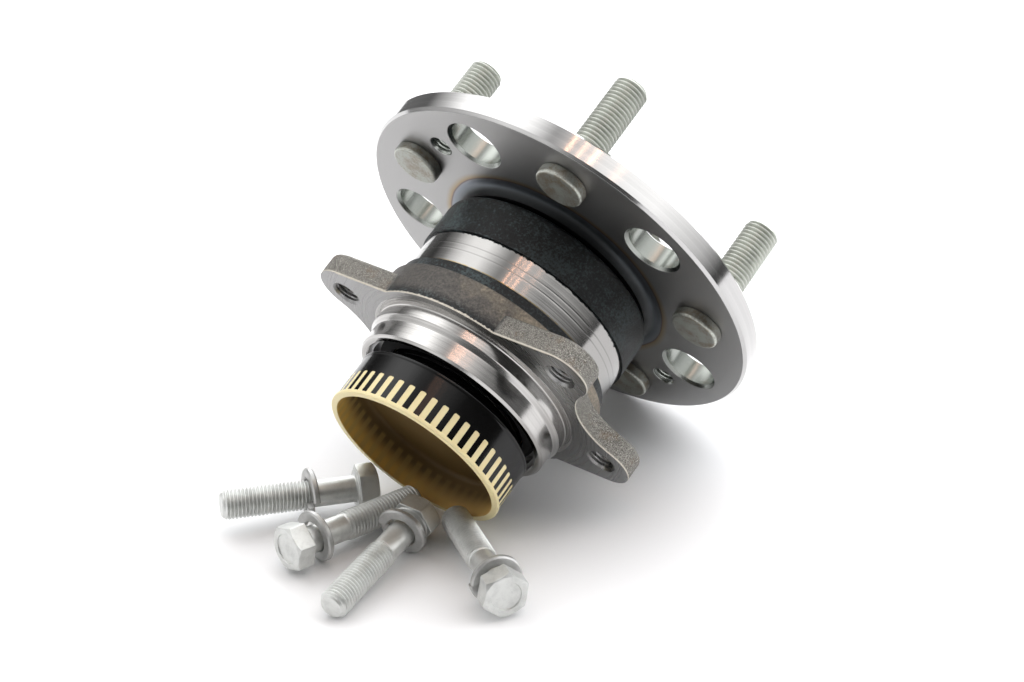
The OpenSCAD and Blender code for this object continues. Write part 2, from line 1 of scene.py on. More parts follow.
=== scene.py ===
"""Visible pieces, finishes, bench, lights and camera for the wheel hub unit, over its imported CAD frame.

Lengths in the code are millimetres turned to metres by MM. The spin axis is Y and +Y points to the wheel.
"""
import math

import bmesh
import bpy
from mathutils import Matrix, Vector


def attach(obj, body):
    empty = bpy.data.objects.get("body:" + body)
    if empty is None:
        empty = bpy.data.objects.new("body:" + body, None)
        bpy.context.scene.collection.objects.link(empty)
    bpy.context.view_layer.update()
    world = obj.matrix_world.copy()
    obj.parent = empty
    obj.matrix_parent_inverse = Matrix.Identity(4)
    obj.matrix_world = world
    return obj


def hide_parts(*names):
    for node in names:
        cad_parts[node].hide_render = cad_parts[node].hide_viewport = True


bl_info = {
    "name": "Wheel hub unit",
    "version": (1, 0, 0),
    "blender": (4, 5, 0),
    "location": "View3D > Sidebar > Wheel hub",
    "description": "Dresses the wheel hub unit with threads, machined and forged finishes, a bench and lights",
    "category": "Object",
}

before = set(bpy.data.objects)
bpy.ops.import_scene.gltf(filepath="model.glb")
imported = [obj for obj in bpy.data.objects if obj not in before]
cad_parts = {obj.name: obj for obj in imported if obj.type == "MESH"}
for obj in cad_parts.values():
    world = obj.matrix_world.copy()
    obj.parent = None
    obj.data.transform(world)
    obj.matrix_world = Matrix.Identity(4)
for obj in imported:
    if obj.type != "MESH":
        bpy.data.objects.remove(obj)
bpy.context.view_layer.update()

MM = 0.001
STUD_CIRCLE = 57.15
STUD_ANGLES = [-4.8 + 72 * i for i in range(5)]
EAR_HOLES = [(44.3, 23.6), (-44.3, 23.6), (-44.3, -23.6), (44.3, -23.6)]
KNUCKLE_FACE = -58.5
EAR_THICKNESS = 8.1
FLANGE_BACK = -8.5
BOLT_LENGTH = 52.0
# Each loose bolt's tip across and along the bench, its heading, its washer's place, and the turns of its hexagon
# and of its washer's split
LOOSE_BOLTS = [(-51.3, -52.3, 55.0, 29.5, 30.0, 0.0), (-8.1, -5.3, -102.0, 40.0, 8.0, -10.0),
               (9.2, -66.1, 97.4, 41.0, 25.0, 195.0), (9.0, -6.0, -32.0, 42.0, 12.0, 5.0)]
DISC_SCREWS = [121.2, -58.8]
SLOT_COUNT = 47
SLOT_PHASE = 2.0
# The bench touches the flange's rim and the cup's rim
FLANGE_EDGE = (73.6, -7.5)
CUP_EDGE = (32.3, -92.8)
BENCH_TILT = math.atan((FLANGE_EDGE[0] - CUP_EDGE[0]) / (FLANGE_EDGE[1] - CUP_EDGE[1]))
BENCH = Matrix.Translation((0, CUP_EDGE[1] * MM, -CUP_EDGE[0] * MM)) @ Matrix.Rotation(-BENCH_TILT, 4, "X")


class Wire:
    """A shader socket that adds, subtracts, multiplies, raises to powers and takes absolutes and remainders as a
    number does.
    """

    def __init__(self, finish, socket):
        self.finish = finish
        self.socket = socket

    def maths(self, operation, *values):
        return self.finish.node("ShaderNodeMath", {"operation": operation}, dict(enumerate(values)))

    def __add__(self, other):
        return self.maths("ADD", self, other)

    def __radd__(self, other):
        return self.maths("ADD", other, self)

    def __sub__(self, other):
        return self.maths("SUBTRACT", self, other)

    def __rsub__(self, other):
        return self.maths("SUBTRACT", other, self)

    def __mul__(self, other):
        return self.maths("MULTIPLY", self, other)

    def __rmul__(self, other):
        return self.maths("MULTIPLY", other, self)

    def __pow__(self, other):
        return self.maths("POWER", self, other)

    def __abs__(self):
        return self.maths("ABSOLUTE", self)

    def __mod__(self, other):
        return self.maths("FLOORED_MODULO", self, other)


class Finish:
    """A node material, built from node() and from sums of wires."""

    def __init__(self, name, metallic=0.0, roughness=0.5, **constants):
        self.material = bpy.data.materials.new(name)
        self.material.use_nodes = True
        self.tree = self.material.node_tree
        self.tree.nodes.clear()
        self.output = self.tree.nodes.new("ShaderNodeOutputMaterial")
        self.shader = self.tree.nodes.new("ShaderNodeBsdfPrincipled")
        self.tree.links.new(self.shader.outputs[0], self.output.inputs[0])
        self.set(**{"Metallic": metallic, "Roughness": roughness})
        self.set(**{key.replace("_", " "): value for key, value in constants.items()})
        coords = self.node("ShaderNodeTexCoord", out="Object")
        self.place = self.node("ShaderNodeVectorMath", {"operation": "SCALE"}, {0: coords, "Scale": 1000.0})
        self.x = self.node("ShaderNodeSeparateXYZ", {}, {0: self.place}, out=0)
        self.y = self.node("ShaderNodeSeparateXYZ", {}, {0: self.place}, out=1)
        self.z = self.node("ShaderNodeSeparateXYZ", {}, {0: self.place}, out=2)
        self.radius = (self.x * self.x + self.z * self.z) ** 0.5

    def node(self, kind, settings=None, sockets=None, out=0):
        """Adds a node: its settings first, then values or links for its sockets."""
        made = self.tree.nodes.new(kind)
        for key, value in (settings or {}).items():
            if key == "stops":
                while len(made.color_ramp.elements) < len(value):
                    made.color_ramp.elements.new(1.0)
                for element, (place, colour) in zip(made.color_ramp.elements, value):
                    element.position = place
                    element.color = (*colour, 1.0)
            else:
                setattr(made, key, value)
        for key, value in (sockets or {}).items():
            if isinstance(value, Wire):
                self.tree.links.new(value.socket, made.inputs[key])
            else:
                made.inputs[key].default_value = value
        return Wire(self, made.outputs[out])

    def set(self, **sockets):
        for key, value in sockets.items():
            if isinstance(value, Wire):
                self.tree.links.new(value.socket, self.shader.inputs[key])
            else:
                self.shader.inputs[key].default_value = value

    def noise(self, scale, detail=3.0, rough=0.6, place=None):
        return self.node("ShaderNodeTexNoise", {}, {"Vector": place or self.place, "Scale": scale,
                                                    "Detail": detail, "Roughness": rough})

    def rings(self, scale, detail=4.0, rough=0.7):
        """Marks that run round the spin axis, on flat faces and on cylinders alike."""
        place = self.node("ShaderNodeCombineXYZ", {}, {0: self.radius, 1: self.y, 2: 0.0})
        return self.noise(scale, detail, rough, place)

    def step(self, value, low, high):
        """0 below low, 1 above high, smooth between."""
        return self.node("ShaderNodeMapRange", {"interpolation_type": "SMOOTHSTEP"},
                         {"Value": value, "From Min": low, "From Max": high})

    def mix(self, share, first, second):
        return self.node("ShaderNodeMix", {"data_type": "RGBA"}, {0: share, 6: first, 7: second}, out=2)

    def shade(self, value, *stops):
        """A colour ramp over value, its stops given as (value, colour) between the first and the last."""
        low, high = stops[0][0], stops[-1][0]
        ramp = [((place - low) / (high - low), colour) for place, colour in stops]
        share = self.node("ShaderNodeMapRange", {}, {"Value": value, "From Min": low, "From Max": high})
        return self.node("ShaderNodeValToRGB", {"stops": ramp}, {0: share})

    def relief(self, height, depth_mm, strength=1.0):
        """Bumps from a height of 0 to 1 that stands for depth_mm."""
        self.set(Normal=self.node("ShaderNodeBump", {}, {"Height": height, "Distance": depth_mm * MM,
                                                         "Strength": strength}))


class Sky(Finish):
    """The surroundings: a white room to the camera, and windows and dark walls to everything else."""

    def __init__(self, world):
        world.use_nodes = True
        self.tree = world.node_tree
        self.tree.nodes.clear()
        way = self.node("ShaderNodeTexCoord", out="Generated")
        self.x, self.y, self.z = (self.node("ShaderNodeSeparateXYZ", {}, {0: way}, out=out) for out in range(3))
        # 0 straight up over the spin axis, growing to the left, in degrees
        self.angle = self.node("ShaderNodeMath", {"operation": "ARCTAN2"}, {0: 0.0 - self.x, 1: self.z}) * 57.3


def rgba(colour):
    return (colour[0], colour[1], colour[2], 1.0)


def turned_steel(name, colour, flange=False):
    """Fine turned steel with rings round the spin axis; the flange has a duller face, temper colours at its boss and
    painted shade in the boss's fillet.
    """
    finish = Finish(name, metallic=1.0)
    marks = finish.rings(0.9)
    fine = finish.rings(5.0, 2.0)
    if flange:
        face = finish.step(finish.y, -8.3, -8.45)
        bore = (1.0 - face) * (1.0 - finish.step(finish.radius, 69.0, 70.0)) * finish.step(finish.y, -0.15, -0.35)
        bore_marks = finish.noise(1.3, 3.0, 0.6, finish.node("ShaderNodeCombineXYZ", {}, {1: finish.y}))
        marks = marks + bore * (bore_marks - marks)
        light = finish.mix(finish.step(marks, 0.3, 0.7), rgba([c * 0.9 for c in colour]), rgba(colour))
        wander = finish.radius + (finish.noise(0.05, 2.0) - 0.5) * 1.2
        # Painted shade: near black in the fillet by the boss, then blue and straw temper rings out to the plain face
        temper_tint_and_fillet_shade = finish.shade(wander, (36.9, (0.012, 0.013, 0.014)), (37.9, (0.035, 0.038, 0.04)),
                            (39.0, (0.09, 0.1, 0.11)), (40.6, (0.2, 0.22, 0.25)), (41.3, (0.24, 0.25, 0.27)),
                            (41.7, (0.13, 0.105, 0.11)), (42.1, (0.3, 0.22, 0.14)), (42.6, (0.33, 0.28, 0.2)),
                            (44.2, tuple(c * 0.66 for c in colour)))
        light = finish.mix(bore, light, rgba([c * share for c, share in zip(colour, (0.62, 0.66, 0.62))]))
        light = finish.mix(face, light, temper_tint_and_fillet_shade)
        dark = face * (1.0 - finish.step(wander, 37.2, 39.0))
        finish.set(Metallic=1.0 - 0.3 * dark, Roughness=0.07 + 0.07 * marks + 0.3 * face + 0.14 * bore + 0.1 * dark)
        finish.relief((0.6 * marks + 0.4 * fine) * (1.0 - 0.8 * face + 3.0 * bore), 0.002)
    else:
        light = finish.mix(finish.step(marks, 0.3, 0.7), rgba([c * 0.86 for c in colour]), rgba(colour))
        finish.set(Roughness=0.22 + 0.12 * marks)
        finish.relief(0.6 * marks + 0.4 * fine, 0.002)
    finish.set(**{"Base Color": light})
    return finish.material


def band_steel(name, colour):
    """The coarsely turned band and the ground spigot, with tool lines and ragged edges against the forging."""
    finish = Finish(name, metallic=1.0)
    marks = finish.rings(1.6, 2.0, 0.6)
    wide = finish.rings(0.45, 1.0)
    band = finish.step(finish.y, -50.0, -45.0)
    ragged = finish.noise(0.7, 3.0)
    lines = 0.0
    for place in (-33.9, -36.3):
        lines = lines + (1.0 - finish.step(abs(finish.y - place), 0.08, 0.35))
    burr = (1.0 - finish.step(abs(finish.y + 41.2 + 0.5 * (ragged - 0.5)), 0.1, 0.3)) * finish.step(ragged, 0.3, 0.6)
    torn = finish.step(finish.y + 30.6 + 2.2 * (ragged - 0.5), 0.65, 0.9)
    light = finish.mix(finish.step(marks, 0.25, 0.75), rgba([c * 0.8 for c in colour]), rgba(colour))
    light = finish.mix(band, light, rgba([c * 0.62 for c in colour]))
    light = finish.mix(lines * 0.8, light, rgba([c * 0.45 for c in colour]))
    light = finish.mix(burr, light, (0.34, 0.26, 0.13, 1.0))
    light = finish.mix(torn, light, (0.02, 0.024, 0.026, 1.0))
    finish.set(**{"Base Color": light, "Roughness": 0.14 - 0.05 * band + 0.06 * wide + 0.1 * lines + 0.3 * torn})
    finish.relief((0.3 * marks + 0.7 * wide - 0.6 * lines) * (0.12 + 0.88 * band), 0.02)
    return finish.material


def forging_scale(name):
    """Blue-black forging scale: a fine grain with lighter specks, thinned towards the right as painted shade, and
    brown tempered patches at the root.
    """
    finish = Finish(name, metallic=0.3, roughness=0.5)
    grain = finish.noise(1.1, 7.0, 0.75)
    cloud = finish.noise(0.07, 3.0)
    speck = finish.step(grain + 0.5 * (cloud - 0.5), 0.48, 0.62)
    # Painted shade: the light specks thin out towards the right side of the barrel
    speck = speck * (1.0 - 0.6 * finish.step(finish.x, -12.0, 26.0))
    base = finish.mix(speck, (0.0025, 0.003, 0.0035, 1.0), (0.07, 0.1, 0.105, 1.0))
    root = finish.step(finish.y, -45.2, -46.6) * finish.step(finish.y + 2.5 * (grain - 0.5), -57.6, -53.6)
    tan = finish.mix(finish.step(grain, 0.3, 0.75), (0.045, 0.043, 0.041, 1.0), (0.15, 0.135, 0.118, 1.0))
    gold = finish.mix(finish.step(grain, 0.3, 0.75), (0.14, 0.12, 0.09, 1.0), (0.4, 0.34, 0.26, 1.0))
    tan = finish.mix(finish.step(cloud + 0.012 * finish.x, 0.62, 0.85), tan, gold)
    patch = root * finish.step(cloud + 0.25 * grain, 0.32, 0.5)
    base = finish.mix(patch, base, tan)
    edge = 1.0 - finish.step(finish.y - KNUCKLE_FACE + 1.6 * (finish.noise(1.2) - 0.5), 0.5, 0.75)
    base = finish.mix(edge, base, (0.6, 0.56, 0.48, 1.0))
    finish.set(**{"Base Color": base, "Roughness": 0.3 + 0.3 * grain, "Specular IOR Level": 0.5})
    finish.relief(grain, 0.3)
    return finish.material


def blasted_forging(name):
    """Shot-blasted ear sides: grey-tan sparkling grain, darker next to the barrel, a light edge at the face."""
    finish = Finish(name, metallic=0.75, roughness=0.5)
    grain = finish.noise(1.6, 8.0, 0.8)
    speck = finish.noise(3.4, 3.0, 0.7)
    rust = finish.step(finish.noise(0.16, 4.0, 0.65), 0.52, 0.7)
    base = finish.mix(finish.step(grain, 0.34, 0.72), (0.07, 0.066, 0.058, 1.0), (0.29, 0.278, 0.248, 1.0))
    base = finish.mix(rust * 0.55, base, (0.15, 0.1, 0.06, 1.0))
    glint = finish.step(speck, 0.55, 0.62)
    base = finish.mix(glint, base, (0.68, 0.66, 0.6, 1.0))
    far = finish.step(abs(finish.x) + 3.0 * (grain - 0.5), 20.5, 24.0)
    base = finish.mix(far, (0.035, 0.04, 0.045, 1.0), base)
    edge = 1.0 - finish.step(finish.y - KNUCKLE_FACE + 1.8 * (speck - 0.5), 0.4, 0.65)
    base = finish.mix(edge, base, (0.62, 0.58, 0.5, 1.0))
    finish.set(**{"Base Color": base, "Roughness": 0.5 - 0.25 * glint})
    finish.relief(0.6 * grain + 0.4 * speck, 0.4)
    return finish.material


def zinc(name, colour, scale=0.5, heads=False):
    """Zinc flake coat: light grey with soft darker stains; the wheel studs' heads are darker, partly with rust stains
    and partly as painted shade.
    """
    finish = Finish(name, metallic=0.68)
    cloud = finish.noise(0.3 * scale, 4.0)
    grain = finish.noise(2.6 * scale, 5.0, 0.75)
    base = finish.mix(finish.step(cloud * 0.7 + grain * 0.3, 0.3, 0.6), rgba([c * 0.8 for c in colour]), rgba(colour))
    if heads:
        # The heads' darker colour is partly rust stains and partly painted shade
        head = finish.step(finish.y, -8.4, -8.8)
        stain = finish.step(cloud * 0.6 + grain * 0.4, 0.42, 0.62)
        stained_shaded_head = finish.mix(stain, rgba([c * 0.62 for c in colour]), (0.22, 0.19, 0.145, 1.0))
        base = finish.mix(head, base, stained_shaded_head)
        # Lighter flecks in a band round each head's rounded rim
        rim_flecks = finish.step(finish.y, -12.2, -12.0) * (1.0 - finish.step(finish.y, -11.6, -11.2))
        base = finish.mix(rim_flecks * finish.step(grain, 0.35, 0.6), base, rgba([c * 1.1 for c in colour]))
    finish.set(**{"Base Color": base, "Roughness": 0.33 + 0.14 * grain})
    finish.relief(grain, 0.015)
    return finish.material


def black_coat(name):
    """Gloss black coat of the tone ring."""
    finish = Finish(name, metallic=0.0, roughness=0.2, Specular_IOR_Level=0.3)
    grain = finish.noise(0.8, 3.0)
    base = finish.mix(grain, (0.0015, 0.0015, 0.0015, 1.0), (0.005, 0.005, 0.005, 1.0))
    finish.set(**{"Base Color": base, "Roughness": 0.1 + 0.08 * grain})
    finish.relief(finish.rings(0.8, 2.0), 0.01)
    return finish.material


def cream_nylon(name):
    """Cream moulding outside; inside, amber with painted light and shade: darker towards the bottom of the cup, a
    painted glow on the left wall and painted light stripes at the slots, where the light comes through the wall and
    the slots.
    """
    finish = Finish(name, metallic=0.0, roughness=0.36, Subsurface_Weight=0.12,
                    Subsurface_Radius=(0.004, 0.0025, 0.001))
    cloud = finish.noise(0.12, 3.0)
    inside = 1.0 - finish.step(finish.radius, 29.95, 30.15)
    angle = finish.node("ShaderNodeMath", {"operation": "ARCTAN2"}, {0: finish.z, 1: finish.x})
    turn = (angle * (SLOT_COUNT / (2 * math.pi)) - SLOT_PHASE * SLOT_COUNT / 360.0 + 0.5) % 1.0
    # Painted light: lighter stripes on the inner wall at the slots, stronger on the left
    slot_light_stripes = 1.0 - finish.step(abs(turn - 0.5), 0.16, 0.34)
    slot_light_stripes = slot_light_stripes * (1.0 - finish.step(finish.y, -83.8, -82.4))
    mouth = 1.0 - finish.step(finish.y, -92.2, -84.0)
    outer = finish.mix(cloud, (0.8, 0.67, 0.34, 1.0), (0.86, 0.76, 0.46, 1.0))
    left = finish.step(finish.x, 6.0, -26.0)
    # Painted shade: the inside darkens from the mouth towards the bottom of the cup
    inside_light_and_shade = finish.mix(mouth, (0.14, 0.085, 0.024, 1.0), (0.62, 0.4, 0.13, 1.0))
    # Painted light: an amber glow on the left wall near the mouth
    inside_light_and_shade = finish.mix(left * mouth, inside_light_and_shade, (0.7, 0.44, 0.1, 1.0))
    inside_light_and_shade = finish.mix(slot_light_stripes * (0.08 + 0.35 * left), inside_light_and_shade, (0.5, 0.36, 0.12, 1.0))
    finish.set(**{"Base Color": finish.mix(inside, outer, inside_light_and_shade), "Roughness": 0.34 + 0.14 * cloud + 0.2 * inside})
    finish.relief(cloud, 0.02)
    return finish.material


def plain(name, colour, metallic, roughness, grain=0.02, scale=1.0):
    """A quiet finish for the pieces inside the bearing."""
    finish = Finish(name, metallic=metallic)
    cloud = finish.noise(scale, 4.0)
    base = finish.mix(cloud, rgba([c * 0.8 for c in colour]), rgba(colour))
    finish.set(**{"Base Color": base, "Roughness": roughness + 0.1 * cloud})
    finish.relief(cloud, grain)
    return finish.material


def settle(bm, name, crease=28.0):
    """Turns a bmesh into an object whose faces are smooth up to the crease angle."""
    bmesh.ops.recalc_face_normals(bm, faces=bm.faces)
    mesh = bpy.data.meshes.new(name)
    bm.to_mesh(mesh)
    bm.free()
    mesh.shade_smooth()
    mesh.set_sharp_from_angle(angle=math.radians(crease))
    piece = bpy.data.objects.new(name, mesh)
    bpy.context.scene.collection.objects.link(piece)
    even = piece.modifiers.new("even shading", "WEIGHTED_NORMAL")
    even.keep_sharp = True
    return piece


def hang(piece, body, node):
    """Makes the piece stand for a CAD node and ride with its body."""
    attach(piece, body)
    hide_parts(node)


def paint(piece, materials, choose):
    """Gives each face the material that choose(centre, radius, normal) names by its place in materials."""
    for material in materials:
        piece.data.materials.append(material)
    for face in piece.data.polygons:
        c = face.center / MM
        face.material_index = choose(c, math.hypot(c.x, c.z), face.normal)


def soft(*corners, pieces=4):
    """Corners (radius, place) in order; a third number rounds one off over that length on each side."""
    points = []
    for index, corner in enumerate(corners):
        here = Vector(corner[:2])
        if len(corner) == 2:
            points.append(here)
            continue
        start = here + (Vector(corners[index - 1][:2]) - here).normalized() * corner[2]
        end = here + (Vector(corners[(index + 1) % len(corners)][:2]) - here).normalized() * corner[2]
        for step in range(pieces + 1):
            t = step / pieces
            points.append(start * (1 - t) ** 2 + here * (2 * t * (1 - t)) + end * t ** 2)
    return [tuple(point) for point in points]


def arc(centre, radius, start, end, pieces=10):
    """Points on a circle in the plane of radius and place, between two angles in degrees."""
    angles = [math.radians(start + (end - start) * step / pieces) for step in range(pieces + 1)]
    return [(centre[0] + radius * math.cos(a), centre[1] + radius * math.sin(a)) for a in angles]


def lathe(corners, steps=96):
    """A closed solid of revolution from corners (radius, place) in millimetres, as a bmesh round Y."""
    bm = bmesh.new()
    verts = [bm.verts.new((r * MM, y * MM, 0)) for r, y in corners]
    edges = [bm.edges.new(pair) for pair in zip(verts, verts[1:] + verts[:1])]
    bmesh.ops.spin(bm, geom=verts + edges, axis=(0, 1, 0), cent=(0, 0, 0), angle=2 * math.pi, steps=steps,
                   use_merge=True)
    bmesh.ops.remove_doubles(bm, verts=bm.verts, dist=1e-6)
    bmesh.ops.dissolve_degenerate(bm, edges=bm.edges, dist=1e-6)
    return bm


def sunk(core, mouth, low, high, steps=48):
    """A cutter for a hole through a plate between low and high, countersunk at both faces."""
    lead = mouth - core
    return lathe([(0, low - 1), (mouth + 1, low - 1), (core, low + lead), (core, high - lead),
                  (mouth + 1, high + 1), (0, high + 1)], steps)


def thread(crest, root, pitch, start, end, tip=1.4, runout=2.2, shank=None, steps=40):
    """A closed rolled thread round Y from start to end, chamfered at its end and fading at its start."""
    bm = bmesh.new()
    shank = (crest + root) / 2 if shank is None else shank
    turns = math.ceil((end - start) / pitch) + 2
    wave = [(0.0, 0.0), (0.12, 0.1), (0.24, 0.45), (0.36, 0.86), (0.46, 1.0), (0.6, 1.0), (0.7, 0.86),
            (0.82, 0.45), (0.92, 0.1), (1.0, 0.0)]
    verts = [bm.verts.new(((root + (crest - root) * h) * MM, (start - pitch + t * pitch) * MM, 0)) for t, h in wave]
    edges = [bm.edges.new(pair) for pair in zip(verts, verts[1:])]
    bmesh.ops.spin(bm, geom=verts + edges, axis=(0, -1, 0), cent=(0, 0, 0), dvec=(0, pitch / steps * MM, 0),
                   angle=2 * math.pi * turns, steps=steps * turns, use_merge=False)
    bmesh.ops.remove_doubles(bm, verts=bm.verts, dist=5e-6)
    for place, normal in ((start, (0, -1, 0)), (end, (0, 1, 0))):
        geom = bm.verts[:] + bm.edges[:] + bm.faces[:]
        bmesh.ops.bisect_plane(bm, geom=geom, plane_co=(0, place * MM, 0), plane_no=normal, clear_outer=True)
    for vert in bm.verts:
        y = vert.co.y / MM
        radius = math.hypot(vert.co.x, vert.co.z) / MM
        share = min(1.0, max(0.0, (y - start) / runout))
        wanted = shank + (radius - shank) * share
        wanted = min(wanted, crest - tip + (end - y) * 0.8 + 0.15)
        vert.co.x *= wanted / radius
        vert.co.z *= wanted / radius
    rims = [edge for edge in bm.edges if edge.is_boundary]
    bmesh.ops.holes_fill(bm, edges=rims, sides=0)
    return bm


def joined(*parts):
    """One bmesh from several."""
    bm = bmesh.new()
    for part in parts:
        keep = bpy.data.meshes.new("part")
        part.to_mesh(keep)
        part.free()
        bm.from_mesh(keep)
        bpy.data.meshes.remove(keep)
    return bm


def moved(bm, matrix):
    """The bmesh after a move."""
    bmesh.ops.transform(bm, matrix=matrix, verts=bm.verts)
    return bm


def around(part, angles, radius=0.0):
    """Copies of a part, each pushed out by radius and turned to its angle round the spin axis."""
    copies = []
    for angle in angles:
        turn = Matrix.Rotation(math.radians(-angle), 4, "Y") @ Matrix.Translation((radius * MM, 0, 0))
        copies.append(moved(part.copy(), turn))
    part.free()
    return joined(*copies)


def boolean(bm, other, operation):
    """The exact Boolean of two bmeshes: DIFFERENCE, UNION or INTERSECT."""
    first, second = (bpy.data.objects.new("operand", bpy.data.meshes.new("operand")) for _ in range(2))
    for piece, source in ((first, bm), (second, other)):
        bmesh.ops.recalc_face_normals(source, faces=source.faces)
        source.to_mesh(piece.data)
        source.free()
        bpy.context.scene.collection.objects.link(piece)
    cut = first.modifiers.new("cut", "BOOLEAN")
    cut.operation = operation
    cut.solver = "EXACT"
    cut.object = second
    bpy.context.view_layer.update()
    result = bmesh.new()
    result.from_object(first, bpy.context.evaluated_depsgraph_get())
    for piece in (first, second):
        bpy.data.objects.remove(piece)
    return result


def ear_plate():
    """The plate with the four ears, open in the middle, its outboard edges rounded."""
    turns = [((43.8, 24.7), 10.6, 90, -48.8, 12), ((65.436, 0), 22.236, 131.2, 228.8, 16),
             ((43.8, -24.7), 10.6, 48.8, -90, 12), ((-43.8, -24.7), 10.6, 270, 131.2, 12),
             ((-65.436, 0), 22.236, -48.8, 48.8, 16), ((-43.8, 24.7), 10.6, 228.8, 90, 12)]
    points = []
    for centre, radius, start, end, pieces in turns:
        run = arc(centre, radius, start, end, pieces)
        points += run[1:-1] if radius > 20 else run
    bm = bmesh.new()
    verts = [bm.verts.new((x * MM, KNUCKLE_FACE * MM, z * MM)) for x, z in points]
    bm.faces.new(verts)
    made = bmesh.ops.extrude_face_region(bm, geom=bm.faces[:])
    raised = [item for item in made["geom"] if isinstance(item, bmesh.types.BMVert)]
    bmesh.ops.translate(bm, vec=(0, EAR_THICKNESS * MM, 0), verts=raised)
    for height, size, segments in ((KNUCKLE_FACE + EAR_THICKNESS, 1.3, 4), (KNUCKLE_FACE, 0.3, 2)):
        rim = [edge for edge in bm.edges if all(abs(vert.co.y - height * MM) < 1e-6 for vert in edge.verts)]
        bmesh.ops.bevel(bm, geom=rim, offset=size * MM, offset_type="OFFSET", segments=segments, profile=0.5,
                        affect="EDGES", material=-1)
    return boolean(bm, lathe([(0, -70), (39.0, -70), (39.0, -40), (0, -40)], 180), "DIFFERENCE")


def slot_bars(half, near):
    """The tone ring's slots as bars of a half width, from their closed ends at near to past the ring's mouth."""
    low, high, far = 28.4, 34.0, -93.4
    bm = bmesh.new()
    bmesh.ops.create_cube(bm, size=1.0)
    middle = Vector(((low + high) / 2, (near + far) / 2, 0)) * MM
    moved(bm, Matrix.Translation(middle) @ Matrix.Diagonal(((high - low) * MM, (near - far) * MM, half * 2 * MM, 1)))
    ends = [edge for edge in bm.edges if all(vert.co.y > middle.y for vert in edge.verts)
            and abs(edge.verts[0].co.x - edge.verts[1].co.x) > 1e-3]
    bmesh.ops.bevel(bm, geom=ends, offset=0.6 * MM, offset_type="OFFSET", segments=4, profile=0.5,
                    affect="EDGES", material=-1)
    return around(bm, [SLOT_PHASE + index * 360 / SLOT_COUNT for index in range(SLOT_COUNT)])


def bolt_pose(index):
    """Where loose bolt index lies: its tip at the origin and its length along +X before the move."""
    across, along, heading, washer, hexagon, split = LOOSE_BOLTS[index]
    # The thread lies in the first washer's bore, the thinner shank in the others
    shank = 8.75 + 0.1 - (0.25 if index == 0 else 0.7)
    tip = (BOLT_LENGTH * shank - washer * 7.05) / (BOLT_LENGTH - washer) if index == 0 else 5.0
    lift = math.asin((shank - tip) / washer)
    pose = BENCH @ Matrix.Translation((across * MM, along * MM, tip * MM))
    pose = pose @ Matrix.Rotation(math.radians(heading), 4, "Z") @ Matrix.Rotation(-lift, 4, "Y")
    return pose, washer, 8.75 - shank, hexagon, split


# Turns the lathe's axis Y to +X
ALONG_X = Matrix.Rotation(math.radians(-90), 4, "Z")


class HubSizes(bpy.types.PropertyGroup):
    """Sizes of the threads and of the bench, in metres."""

    stud_crest: bpy.props.FloatProperty(name="Stud thread radius", description="Radius over the wheel studs' thread",
                                        default=0.006, unit="LENGTH")
    stud_pitch: bpy.props.FloatProperty(name="Stud pitch", description="Pitch of the wheel studs' thread",
                                        default=0.0015, unit="LENGTH")
    bolt_crest: bpy.props.FloatProperty(name="Bolt thread radius", description="Radius over the bolts' thread",
                                        default=0.00495, unit="LENGTH")
    bolt_pitch: bpy.props.FloatProperty(name="Bolt pitch", description="Pitch of the bolts' thread",
                                        default=0.00125, unit="LENGTH")
    bench_radius: bpy.props.FloatProperty(name="Bench radius", description="Radius of the pale bench under the set",
                                          default=0.62, unit="LENGTH")


class HubColours(bpy.types.PropertyGroup):
    """Main colours of the finishes."""

    steel: bpy.props.FloatVectorProperty(name="Turned steel", description="Colour of the flange", subtype="COLOR",
                                         default=(0.53, 0.525, 0.52))
    band: bpy.props.FloatVectorProperty(name="Band steel", description="Colour of the band and the spigot",
                                        subtype="COLOR", default=(0.53, 0.52, 0.505))
    studs: bpy.props.FloatVectorProperty(name="Stud zinc", description="Colour of the wheel studs", subtype="COLOR",
                                         default=(0.55, 0.57, 0.52))
    bolts: bpy.props.FloatVectorProperty(name="Bolt zinc", description="Colour of the loose bolts", subtype="COLOR",
                                         default=(0.69, 0.7, 0.68))
    bench: bpy.props.FloatVectorProperty(name="Bench", description="Colour of the bench", subtype="COLOR",
                                         default=(0.93, 0.93, 0.935))


